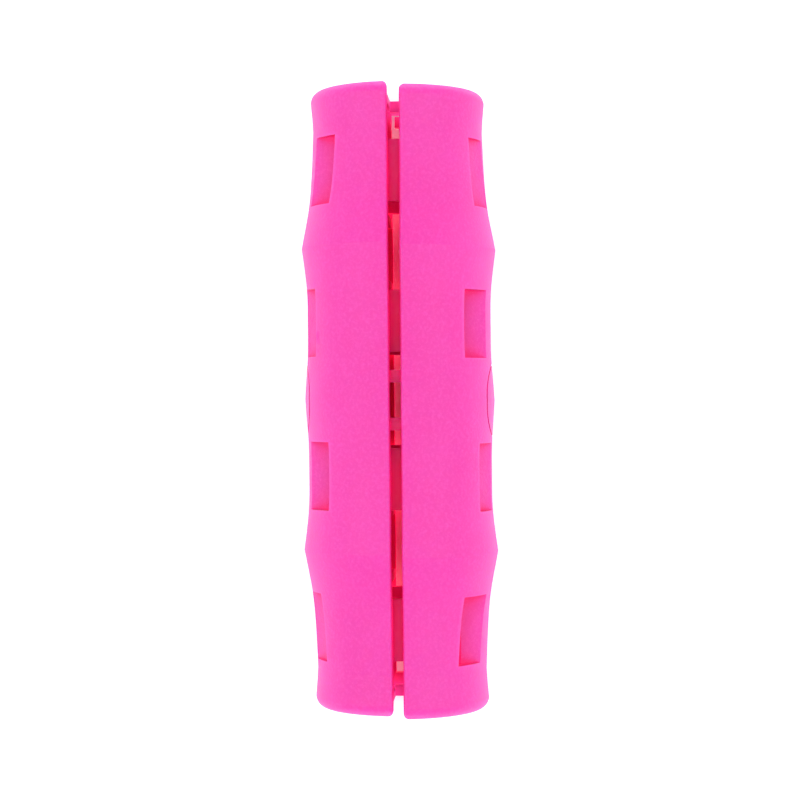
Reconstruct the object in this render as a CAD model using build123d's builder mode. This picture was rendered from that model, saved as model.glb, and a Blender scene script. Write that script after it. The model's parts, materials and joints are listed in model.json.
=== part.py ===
from build123d import *

import os
from math import cos, radians, sin, sqrt

# A clip-on hand grip for a wire bail handle. Two identical half shells close round the wire from
# its two sides, and each holds the other with four snap tongues. Millimetres.
# World frame: +Y along the wire, +Z out of the front slot, halves apart along X.
# Each half is drawn in its own seat plane: x away from the other half, y along the wire, z to the
# front. The left half's seat is the right one's turned by 180 degrees about Z.

# Barrel
half_length = 55.0
wall = 2.2
ridge_at = 26.9
ridge_radius = 17.4
middle_radius = 17.0
neck_at = 47.9
neck_radius = 15.14
rim_radius = 15.53
rim_round = 2.0
inner_groove = [(16.80, 3.2), (16.49, 7.5), (16.42, 13.4), (16.52, 19.4), (16.93, 23.4)]
outer_groove = [(16.96, 29.2), (16.16, 33.4), (15.49, 40.0)]
end_flare = [(15.35, 51.2)]
beyond = 24.0

# How the halves meet
axial_play = 0.52
slot_width = 1.94
slot_flare = 0.32
slot_corner = 1.1
slot_round = 0.5
flap_root = 12.6
back_edge = 1.85
lip_gap = 0.1
lip_thickness = 2.0
lip_front = 10.5

# Wire and the webs that carry it
wire_seat_radius = 2.3
web_thickness = 1.6
web_stations = [20.6, 32.5]

# Windows: the angles of the front edge and of the fade-out, the depth seen from the front
window_height = 12.0
inner_station = 13.5
outer_station = 40.2
station_radius = {inner_station: 16.42, outer_station: 15.49}
wide_angles = {inner_station: (46.4, 71.0), outer_station: (43.9, 69.0)}
narrow_angles = {inner_station: (60.3, 81.0), outer_station: (58.4, 82.0)}
wide_drop = 2.8
narrow_drop = 2.6
latch_wall = 8.87
narrow_undercut = 1.2

# Snap tongues and the rib that each one catches
tongue_height = 10.8
tongue_outer = 12.7
tongue_inner = 10.9
tongue_tip = -54.0
tongue_root = (28.0, 46.0)
barb_gap = 0.13
barb_top = 10.2
barb_crest = (9.7, 9.7)
barb_slope = (10.1, 7.9)
barb_root = 7.6
catch_radius = 12.9
catch_width = 1.5
catch_top = 12.2

# Locating tab beside the middle, and the key beside each end
tab_at = 4.4
tab_thickness = 2.2
tab_outer = 14.2
tab_inner = 12.4
tab_tip = -16.0
tab_root = (12.0, 30.0)
tab_bead = 0.3
key_length = 2.0
key_reach = 1.2
key_inset = 0.3

# Plain round medallion on each side
medallion_radius = 6.2
medallion_groove = 0.45
medallion_depth = 0.5

axis_height = sqrt(ridge_radius**2 - back_edge**2)
seats = {
    "right": Plane((0, -axial_play / 2, axis_height), x_dir=(1, 0, 0), z_dir=(0, 0, 1)),
    "left": Plane((0, axial_play / 2, axis_height), x_dir=(-1, 0, 0), z_dir=(0, 0, 1)),
}
# the side that a half's slot edge stands further back on: the halves sit slightly out of parallel
flare_side = {"right": 1, "left": -1}

low_end, high_end, centred = Align.MIN, Align.MAX, Align.CENTER


def across(seat, y):
    """The plane square to the wire at y, with x outwards and z to the front."""
    return Plane(seat.from_local_coords((0, y, 0)), x_dir=seat.x_dir, z_dir=-seat.y_dir)


def at_angle(radius, degrees):
    """A point of the cross-section, with its angle taken from the front."""
    return (radius * sin(radians(degrees)), radius * cos(radians(degrees)))


def turn_barrel(seat, inset, mode):
    """The barrel's body, with its outline moved in by inset, turned about the wire's axis."""
    middle = [(middle_radius, 0)]
    ridge = [(ridge_radius, ridge_at)]
    neck = [(neck_radius, neck_at)]
    rim = [(rim_radius, half_length - rim_round)]
    corner = rim_round if inset == 0 else 0
    end = (rim_radius - inset - corner, half_length)
    with BuildSketch(seat) as profile:
        with BuildLine():
            for stretch in (
                middle + inner_groove + ridge,
                ridge + outer_groove + neck,
                neck + end_flare + rim,
            ):
                Spline([(radius - inset, y) for radius, y in stretch])
            if corner:
                CenterArc((end[0], rim[0][1]), corner, 0, 90)
            else:
                Line((end[0], rim[0][1]), end)
            Line(end, (0, half_length))
            mirror(about=Plane.XZ)
            Line((0, half_length), (0, -half_length))
        make_face()
    revolve(profile.sketch, axis=Axis(seat.origin, seat.y_dir), mode=mode)


def end_lips():
    """Blocks that carry a half's ends across to the middle at the back."""
    for end, side in ((1, high_end), (-1, low_end)):
        with Locations((lip_gap, end * half_length, -lip_front)):
            Box(back_edge, lip_thickness, beyond, align=(low_end, side, high_end))


def is_wide(y):
    """A half has wide windows where the other half's tongues come in."""
    return y in (inner_station, -outer_station)


def window_outline(y):
    """A window's cross-section: a wall square to the front and a floor that ramps out."""
    radius = station_radius[abs(y)]
    wide = is_wide(y)
    edge, fade = (wide_angles if wide else narrow_angles)[abs(y)]
    edge_x, edge_z = at_angle(radius, edge)
    fade_x, fade_z = at_angle(radius, fade)
    floor_z = edge_z - (wide_drop if wide else narrow_drop)
    slope = (fade_z - floor_z) / (fade_x - edge_x)
    inside_x = latch_wall if wide else edge_x - narrow_undercut
    inside_z = floor_z if wide else floor_z - slope * narrow_undercut
    ramp = [(beyond, floor_z + slope * (beyond - edge_x)), (edge_x, floor_z)]
    return [(inside_x, edge_z), (beyond, edge_z), *ramp, (inside_x, inside_z)]


def on_slot(seat, edge):
    """Whether an edge runs along the slot or round its ends, on the outside."""
    middle = seat.to_local_coords(edge).center()
    beside_slot = middle.X < slot_width / 2 + slot_round
    return beside_slot and middle.Z > flap_root + wall / 2 and edge.length > 2 * slot_round


def wedge(first, last, mode):
    """A sector of the cross-section between two angles from the front."""
    Polygon((0, 0), at_angle(beyond, first), at_angle(beyond, last), align=None, mode=mode)


def ring_sector(outer, inner, first, last):
    """A curved strip between two radii and two angles from the front."""
    Circle(outer)
    Circle(inner, mode=Mode.SUBTRACT)
    wedge(first, last, Mode.INTERSECT)


def save(piece, name):
    piece.part.label = name
    export_step(piece.part, f"parts/{name}.step")


def medallion_blank(radius):
    """A round bar that stands out of the side, where the medallion lies."""
    with Locations((beyond / 2, 0, 0)):
        Cylinder(radius, beyond / 2, rotation=(0, 90, 0), align=(centred, centred, low_end))


def make_shell(side, seat):
    """The half shell: wall, front flap, end lips, windows and catch ribs."""
    flare = flare_side[side] * slot_flare / 4
    with BuildPart(seat) as recess:
        medallion_blank(medallion_radius + medallion_groove)
        turn_barrel(seat, medallion_depth, Mode.SUBTRACT)

    with BuildPart(seat) as shell:
        with Locations((back_edge, 0, flap_root)):
            Box(beyond, 2 * half_length, 2 * beyond, align=(low_end, centred, high_end))
        with BuildSketch(seat.offset(flap_root)) as flap:
            Polygon(
                (slot_width / 2 + flare, half_length),
                (beyond, half_length),
                (beyond, -half_length),
                (slot_width / 2 - flare, -half_length),
                align=None,
            )
            fillet(flap.vertices().sort_by(Axis.X)[:2], slot_corner)
        extrude(amount=beyond)
        end_lips()
        turn_barrel(seat, 0, Mode.INTERSECT)
        fillet([edge for edge in shell.edges() if on_slot(seat, edge)], slot_round)
        turn_barrel(seat, wall, Mode.SUBTRACT)
        for y in (-outer_station, -inner_station, inner_station, outer_station):
            if is_wide(y):
                with BuildSketch(across(seat, y)):
                    for face in (low_end, high_end):
                        z = catch_top if face == high_end else -catch_top
                        with Locations((latch_wall, z)):
                            Rectangle(catch_width, catch_width * 3, align=(high_end, face))
                    Circle(catch_radius, mode=Mode.SUBTRACT)
                extrude(amount=window_height / 2, both=True)
        for y in (-outer_station, -inner_station, inner_station, outer_station):
            with BuildSketch(across(seat, y)):
                Polygon(*window_outline(y), align=None)
                mirror(about=Plane.XZ)
            extrude(amount=window_height / 2, both=True, mode=Mode.SUBTRACT)
        add(seat.to_local_coords(recess.part), mode=Mode.SUBTRACT)
    save(shell, f"{side}_shell")


def make_webs(side, seat):
    """The six cross webs, each with a round notch that the wire lies in."""
    end_station = half_length - web_thickness / 2
    with BuildPart(seat) as webs:
        for station in (*web_stations, end_station):
            for y in (station, -station):
                with BuildSketch(across(seat, y)):
                    with Locations((back_edge, 0)):
                        Rectangle(beyond, 2 * beyond, align=(low_end, centred))
                    Circle(wire_seat_radius, mode=Mode.SUBTRACT)
                extrude(amount=web_thickness / 2, both=True)
        end_lips()
        turn_barrel(seat, wall, Mode.INTERSECT)
    save(webs, f"{side}_wire_webs")


def make_tongue(side, seat, y, face, name):
    """A snap tongue: a curved strip that reaches under the other half's flap, with a barb."""
    with BuildPart(seat) as tongue:
        with BuildSketch(across(seat, y)):
            wedge(*tongue_root, Mode.ADD)
            Circle(tongue_outer, mode=Mode.SUBTRACT)
            if face == "back":
                mirror(about=Plane.XZ, mode=Mode.REPLACE)
        extrude(amount=tongue_height / 2, both=True)
        turn_barrel(seat, wall, Mode.INTERSECT)
        with BuildSketch(across(seat, y)):
            ring_sector(tongue_outer, tongue_inner, tongue_tip, tongue_root[1])
            Polygon(
                (-latch_wall - barb_gap, barb_top),
                (-barb_crest[0], barb_crest[1]),
                (-barb_slope[0], barb_slope[1]),
                at_angle(tongue_outer, tongue_tip),
                (-latch_wall - barb_gap, barb_root),
                align=None,
            )
            if face == "back":
                mirror(about=Plane.XZ, mode=Mode.REPLACE)
        extrude(amount=tongue_height / 2, both=True)
    save(tongue, name)


def make_tab(side, seat):
    """The locating tab that reaches across the slot beside the middle, with a fine bead."""
    with BuildPart(seat) as tab:
        with BuildSketch(across(seat, tab_at)):
            wedge(*tab_root, Mode.ADD)
            Circle(tab_outer, mode=Mode.SUBTRACT)
        extrude(amount=tab_thickness / 2, both=True)
        turn_barrel(seat, wall, Mode.INTERSECT)
        with BuildSketch(across(seat, tab_at)):
            ring_sector(tab_outer, tab_inner, tab_tip, tab_root[1])
        extrude(amount=tab_thickness / 2, both=True)
        with BuildSketch(across(seat, tab_at)):
            ring_sector(tab_outer + tab_bead, tab_inner, tab_tip, tab_root[0])
        extrude(amount=tab_bead / 2, both=True)
    save(tab, f"{side}_centre_tab")


def make_key(side, seat):
    """The key at one end's back edge, which lies under the other half's end lip."""
    with BuildPart(seat) as key:
        with Locations((-key_reach, half_length - lip_thickness, 0)):
            Box(key_reach + back_edge, key_length, beyond, align=(low_end, high_end, high_end))
        turn_barrel(seat, key_inset, Mode.INTERSECT)
        turn_barrel(seat, wall + key_inset, Mode.SUBTRACT)
    save(key, f"{side}_end_key")


def make_medallion(side, seat):
    """A plain round medallion, flush with the barrel, inside a fine groove."""
    with BuildPart(seat) as medallion:
        medallion_blank(medallion_radius)
        turn_barrel(seat, 0, Mode.INTERSECT)
        turn_barrel(seat, medallion_depth, Mode.SUBTRACT)
    save(medallion, f"{side}_medallion")


os.makedirs("parts", exist_ok=True)
for side, seat in seats.items():
    make_shell(side, seat)
    make_webs(side, seat)
    for face in ("front", "back"):
        make_tongue(side, seat, outer_station, face, f"{side}_{face}_outer_tongue")
        make_tongue(side, seat, -inner_station, face, f"{side}_{face}_inner_tongue")
    make_tab(side, seat)
    make_key(side, seat)
    make_medallion(side, seat)
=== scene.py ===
"""Clip-on bail handle grip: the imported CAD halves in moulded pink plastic, on a pale floor, from above."""

import json
import math

import bpy
from mathutils import Matrix, Vector

MM = 0.001
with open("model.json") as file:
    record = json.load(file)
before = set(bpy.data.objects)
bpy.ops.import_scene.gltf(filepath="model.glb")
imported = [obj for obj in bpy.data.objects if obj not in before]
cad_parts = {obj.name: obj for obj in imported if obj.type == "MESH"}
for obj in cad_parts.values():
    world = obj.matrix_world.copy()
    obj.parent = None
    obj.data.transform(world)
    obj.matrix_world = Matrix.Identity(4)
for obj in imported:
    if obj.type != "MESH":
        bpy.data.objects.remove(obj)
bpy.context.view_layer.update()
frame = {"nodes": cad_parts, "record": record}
seat = next(m for m in frame["record"]["mounts"] if m["name"] == "wire_seat")
wire_axis = Vector(seat["pos_m"])

# Colours, linear
PINK = (0.872, 0.047, 0.417, 1.0)
PINK_CLOUD = (0.882, 0.057, 0.447, 1.0)
# PINK_PALE: the paler specks of the grain, and the painted highlight along thin convex edges
PINK_PALE = (0.990, 0.105, 0.580, 1.0)
# Painted shade: deeper, warmer pinks blended in where other parts stand close round a surface
PINK_PAINTED_SHADE = (0.850, 0.003, 0.190, 1.0)
TAB_PAINTED_SHADE = (0.856, 0.014, 0.250, 1.0)
TONGUE_PAINTED_SHADE = (0.690, 0.004, 0.230, 1.0)
# Painted glow: emission colours in place of light carried through the translucent walls
INNER_GLOW = (1.0, 0.020, 0.15, 1.0)
END_GLOW = (0.290, 0.030, 0.200, 1.0)
FLOOR = (0.93, 0.93, 0.93, 1.0)
FLOOR_SHADE = tuple(c * 0.99 for c in FLOOR[:3]) + (1.0,)
WHITE = (1.0, 1.0, 1.0, 1.0)

# Noises: waves per millimetre, detail, roughness
CLOUD_NOISE = (0.05, 3.0, 0.5)
GRAIN_NOISE = (1.9, 3.0, 0.6)
RIPPLE_NOISE = (0.45, 2.0, 0.5)
FLOOR_NOISE = (0.02, 2.0, 0.5)

# How far the openness tests reach, in millimetres
# Reach for the painted highlight along thin convex edges
RIM_REACH = 0.5
# Reach for the painted shade in pockets
POCKET_REACH = 6.0
# Reach for the painted glow in cavities
CAVITY_REACH = 12.0

# Bumps: depth in millimetres, strength
GRAIN_BUMP = (0.08, 1.0)
RIPPLE_BUMP = (0.04, 0.3)

# Spreads: the value's low and high, then what they become
CLOUD_MIX = (0.35, 0.65, 0.0, 1.0)
SPECK_MIX = (0.45, 0.8, 0.0, 0.60)
# Painted highlight: paler pink where the surface's own skin lies close inwards, along thin convex edges
RIM_HIGHLIGHT_MIX = (0.5, 0.95, 0.35, 0.0)
# Painted shade: how closed in a surface is, turned into how much painted shade colour it takes
RECESS_SHADE_MIX = (0.67, 1.0, 1.0, 0.0)
# Where the painted glow goes: closed-in cavities, inside the barrel, by the back gap and near the ends
CAVITY_OPENNESS = (0.1, 0.4)
NEAR_END = (50 * MM, 53 * MM, 0.0, 1.0)
INSIDE_BARREL = (14.9 * MM, 15.3 * MM, 1.0, 0.0)
BY_BACK_GAP = (3.5 * MM, 4.5 * MM, 1.0, 0.0)
GRAIN_RANGE = (0.3, 0.7)
FLOOR_MIX = (0.3, 0.7, 0.0, 1.0)
BESIDE_GRIP = (10 * MM, 14 * MM, 0.0, 0.48)
PAST_ENDS = (54 * MM, 58 * MM, 0.0, 0.48)
FAR_FLOOR = (0.15, 0.7, 0.0, 0.95)
SKY = (0.08, 0.16, 1.0, 0.12)

# The plastic's shader values; the roughness goes from smooth to rough with the grain
SMOOTHER, ROUGHER = 0.05, 0.07
PLASTIC = {
    "IOR": 1.49,
    "Specular IOR Level": 0.3,
    "Subsurface Weight": 0.5,
    "Subsurface Radius": (1.0, 0.3, 0.5),
    "Subsurface Scale": 1.2 * MM,
}

# Finishes, each over the ones before: part of the node's name, material, roughness, painted glow, painted
# shade colour
FINISHES = (
    ("", "inner_pink", 0.40, 0.0, PINK_PAINTED_SHADE),
    ("tongue", "tongue_pink", 0.40, 0.0, TONGUE_PAINTED_SHADE),
    ("back", "back_tongue_pink", 0.40, 0.8, PINK_PAINTED_SHADE),
    ("tab", "tab_pink", 0.40, 0.0, TAB_PAINTED_SHADE),
    ("shell", "shell_pink", 0.45, 0.65, PINK_PAINTED_SHADE),
    ("webs", "web_pink", 0.45, 0.65, PINK_PAINTED_SHADE),
    ("medallion", "medallion_pink", 0.38, 0.0, PINK_PAINTED_SHADE),
)

# Softboxes: place and size in metres, watts
SOFTBOXES = {
    "left_softbox": ((-0.60, 0.0, 0.75), (0.6, 1.2), 6.4),
    "right_softbox": ((0.60, 0.0, 0.75), (0.6, 1.2), 6.4),
    "top_end_softbox": ((0.0, 0.80, 0.14), (0.6, 0.2), 2.6),
    "low_end_softbox": ((0.0, -0.80, 0.14), (0.6, 0.2), 2.6),
}

# The photograph's viewpoint: straight down, a little to the right of the slot
VIEW_DISTANCE = 0.360
VIEW_TURN = math.radians(3.0)
VIEW_ROLL = math.radians(0.54)
VIEW_WIDTH = 0.1438
SENSOR_WIDTH = 36.0

FLOOR_SIZE = 3.0
FLOOR_ROUGHNESS = 0.9
OPENNESS_SAMPLES = 4


class Nodes:
    """The node tree of a material or a world, with short calls that make and join nodes."""

    def __init__(self, owner, shader):
        owner.use_nodes = True
        self.owner = owner
        self.tree = owner.node_tree
        self.shader = self.tree.nodes[shader]

    def add(self, kind, **settings):
        """A new node, with its settings and input values by name."""
        node = self.tree.nodes.new(kind)
        for key, value in settings.items():
            if key in node.inputs:
                node.inputs[key].default_value = value
            else:
                setattr(node, key, value)
        return node

    def join(self, source, target):
        self.tree.links.new(source, target)

    def noise(self, scale, detail, roughness):
        """Noise whose scale is in waves per millimetre of the object."""
        where = self.add("ShaderNodeTexCoord")
        node = self.add("ShaderNodeTexNoise", Scale=scale / MM, Detail=detail, Roughness=roughness)
        self.join(where.outputs["Object"], node.inputs["Vector"])
        return node.outputs["Fac"]

    def distance_along(self, axis, space="Object"):
        """How far a point stands from the middle along one axis."""
        where = self.add("ShaderNodeTexCoord")
        split = self.add("ShaderNodeSeparateXYZ")
        size = self.add("ShaderNodeMath", operation="ABSOLUTE")
        self.join(where.outputs[space], split.inputs[0])
        self.join(split.outputs[axis], size.inputs[0])
        return size.outputs[0]

    def distance_from(self, point, keep):
        """Distance from a point of the object, along the directions that keep leaves at 1."""
        where = self.add("ShaderNodeTexCoord")
        offset = self.add("ShaderNodeVectorMath", operation="SUBTRACT")
        flat = self.add("ShaderNodeVectorMath", operation="MULTIPLY")
        length = self.add("ShaderNodeVectorMath", operation="LENGTH")
        self.join(where.outputs["Object"], offset.inputs[0])
        offset.inputs[1].default_value = point
        self.join(offset.outputs[0], flat.inputs[0])
        flat.inputs[1].default_value = keep
        self.join(flat.outputs[0], length.inputs[0])
        return length.outputs["Value"]

    def spread(self, value, low_in, high_in, low_out, high_out):
        """The value's stretch from low_in to high_in, spread from low_out to high_out."""
        node = self.add("ShaderNodeMapRange")
        for name, number in (
            ("From Min", low_in),
            ("From Max", high_in),
            ("To Min", low_out),
            ("To Max", high_out),
        ):
            node.inputs[name].default_value = number
        self.join(value, node.inputs["Value"])
        return node.outputs["Result"]

    def combine(self, operation, first, second):
        node = self.add("ShaderNodeMath", operation=operation)
        self.join(first, node.inputs[0])
        self.join(second, node.inputs[1])
        return node.outputs[0]

    def blend(self, factor, first, second):
        """From the first colour to the second; each is a colour or another node's output."""
        node = self.add("ShaderNodeMix", data_type="RGBA")
        self.join(factor, node.inputs[0])
        for socket, colour in ((node.inputs[6], first), (node.inputs[7], second)):
            if isinstance(colour, tuple):
                socket.default_value = colour
            else:
                self.join(colour, socket)
        return node.outputs[2]

    def openness(self, reach_mm, inwards=False):
        """1 where nothing stands within reach of the surface, or none of its own skin inwards."""
        node = self.add(
            "ShaderNodeAmbientOcclusion",
            samples=OPENNESS_SAMPLES,
            inside=inwards,
            Distance=reach_mm * MM,
        )
        return node.outputs["AO"]

    def bump(self, height, depth_mm, strength, base=None):
        node = self.add("ShaderNodeBump", Distance=depth_mm * MM, Strength=strength)
        self.join(height, node.inputs["Height"])
        if base is not None:
            self.join(base, node.inputs["Normal"])
        return node.outputs["Normal"]


def painted_inner_glow(m, glow, painted_shade_mask):
    """A painted glow, emitted by the plastic itself in place of the light that comes through the walls: its
    colour and strength, on inner faces and open ends.
    """
    end = m.combine("MULTIPLY", m.spread(m.distance_along("Y"), *NEAR_END), painted_shade_mask)
    inside = m.spread(m.distance_from(wire_axis, (1, 0, 1)), *INSIDE_BARREL)
    by_back_gap = m.spread(m.distance_from((0, 0, 0), (1, 0, 1)), *BY_BACK_GAP)
    where = m.combine("MAXIMUM", inside, by_back_gap)
    cavity = m.spread(m.openness(CAVITY_REACH), *CAVITY_OPENNESS, glow, 0.0)
    strength = m.combine("MAXIMUM", m.combine("MULTIPLY", cavity, where), end)
    return m.blend(end, INNER_GLOW, END_GLOW), strength


def moulded_plastic(name, roughness, glow, painted_shade_colour):
    """Translucent neon polypropylene with a fine spark texture, a painted highlight along thin convex edges,
    painted shade (deeper and warmer) where it is enclosed, and a painted glow on inner faces and open ends.
    """
    m = Nodes(bpy.data.materials.new(name), "Principled BSDF")
    inputs = m.shader.inputs
    cloud = m.spread(m.noise(*CLOUD_NOISE), *CLOUD_MIX)
    colour = m.blend(cloud, PINK, PINK_CLOUD)
    grain = m.noise(*GRAIN_NOISE)
    colour = m.blend(m.spread(grain, *SPECK_MIX), colour, PINK_PALE)
    # Painted highlight: paler pink along thin convex edges, such as the pocket and slot rims
    colour = m.blend(m.spread(m.openness(RIM_REACH, True), *RIM_HIGHLIGHT_MIX), colour, PINK_PALE)
    # Painted shade in pockets, under the flaps and between the parts, from how closed in the surface is
    painted_shade_mask = m.spread(m.openness(POCKET_REACH), *RECESS_SHADE_MIX)
    m.join(m.blend(painted_shade_mask, colour, painted_shade_colour), inputs["Base Color"])
    # Painted glow on inner faces and open ends, as emission from the plastic
    light_colour, light_strength = painted_inner_glow(m, glow, painted_shade_mask)
    m.join(light_colour, inputs["Emission Color"])
    m.join(light_strength, inputs["Emission Strength"])
    rough = m.spread(grain, *GRAIN_RANGE, roughness - SMOOTHER, roughness + ROUGHER)
    m.join(rough, inputs["Roughness"])
    texture = m.bump(grain, *GRAIN_BUMP)
    m.join(m.bump(m.noise(*RIPPLE_NOISE), *RIPPLE_BUMP, texture), inputs["Normal"])
    for socket, value in PLASTIC.items():
        inputs[socket].default_value = value
    return m.owner


def paint(part_of_name, material):
    for name, node in frame["nodes"].items():
        if part_of_name in name:
            node.data.materials.clear()
            node.data.materials.append(material)


def pale_floor():
    """The table. It glows a little, except under the grip, and more far off, so that it stays white."""
    bpy.ops.mesh.primitive_plane_add(size=FLOOR_SIZE, location=(0, 0, 0))
    floor = bpy.context.object
    floor.name = "floor"
    m = Nodes(bpy.data.materials.new("pale_floor"), "Principled BSDF")
    inputs = m.shader.inputs
    tone = m.spread(m.noise(*FLOOR_NOISE), *FLOOR_MIX)
    m.join(m.blend(tone, FLOOR, FLOOR_SHADE), inputs["Base Color"])
    inputs["Roughness"].default_value = FLOOR_ROUGHNESS
    sides = m.spread(m.distance_along("X"), *BESIDE_GRIP)
    ends = m.spread(m.distance_along("Y"), *PAST_ENDS)
    far = m.spread(m.distance_from((0, 0, 0), (1, 1, 1)), *FAR_FLOOR)
    around = m.combine("MAXIMUM", sides, ends)
    inputs["Emission Color"].default_value = WHITE
    m.join(m.combine("MAXIMUM", around, far), inputs["Emission Strength"])
    floor.data.materials.append(m.owner)


def soft_light(name, place, size, watts):
    data = bpy.data.lights.new(name, "AREA")
    data.shape = "RECTANGLE"
    data.size, data.size_y = size
    data.energy = watts
    light = bpy.data.objects.new(name, data)
    light.location = place
    light.rotation_euler = (wire_axis - Vector(place)).to_track_quat("-Z", "Y").to_euler()
    bpy.context.scene.collection.objects.link(light)


def studio():
    """A sky that is white round the horizon and dim overhead, and the softboxes."""
    world = Nodes(bpy.data.worlds.new("studio"), "Background")
    world.shader.inputs["Color"].default_value = WHITE
    height = world.distance_along("Z", "Generated")
    world.join(world.spread(height, *SKY), world.shader.inputs["Strength"])
    bpy.context.scene.world = world.owner
    bpy.context.scene.view_settings.view_transform = "Standard"
    for name, (place, size, watts) in SOFTBOXES.items():
        soft_light(name, place, size, watts)


def photo_camera():
    data = bpy.data.cameras.new("photo_camera")
    data.sensor_width = SENSOR_WIDTH
    data.lens = SENSOR_WIDTH * VIEW_DISTANCE / VIEW_WIDTH
    camera = bpy.data.objects.new("photo_camera", data)
    towards = Vector((math.sin(VIEW_TURN), 0, math.cos(VIEW_TURN)))
    turn = Matrix.Rotation(VIEW_TURN, 4, "Y") @ Matrix.Rotation(-VIEW_ROLL, 4, "Z")
    camera.matrix_world = Matrix.Translation(wire_axis + towards * VIEW_DISTANCE) @ turn
    bpy.context.scene.collection.objects.link(camera)
    bpy.context.scene.camera = camera


photo_camera()
pale_floor()
studio()
for part_of_name, name, roughness, glow, painted_shade_colour in FINISHES:
    paint(part_of_name, moulded_plastic(name, roughness, glow, painted_shade_colour))
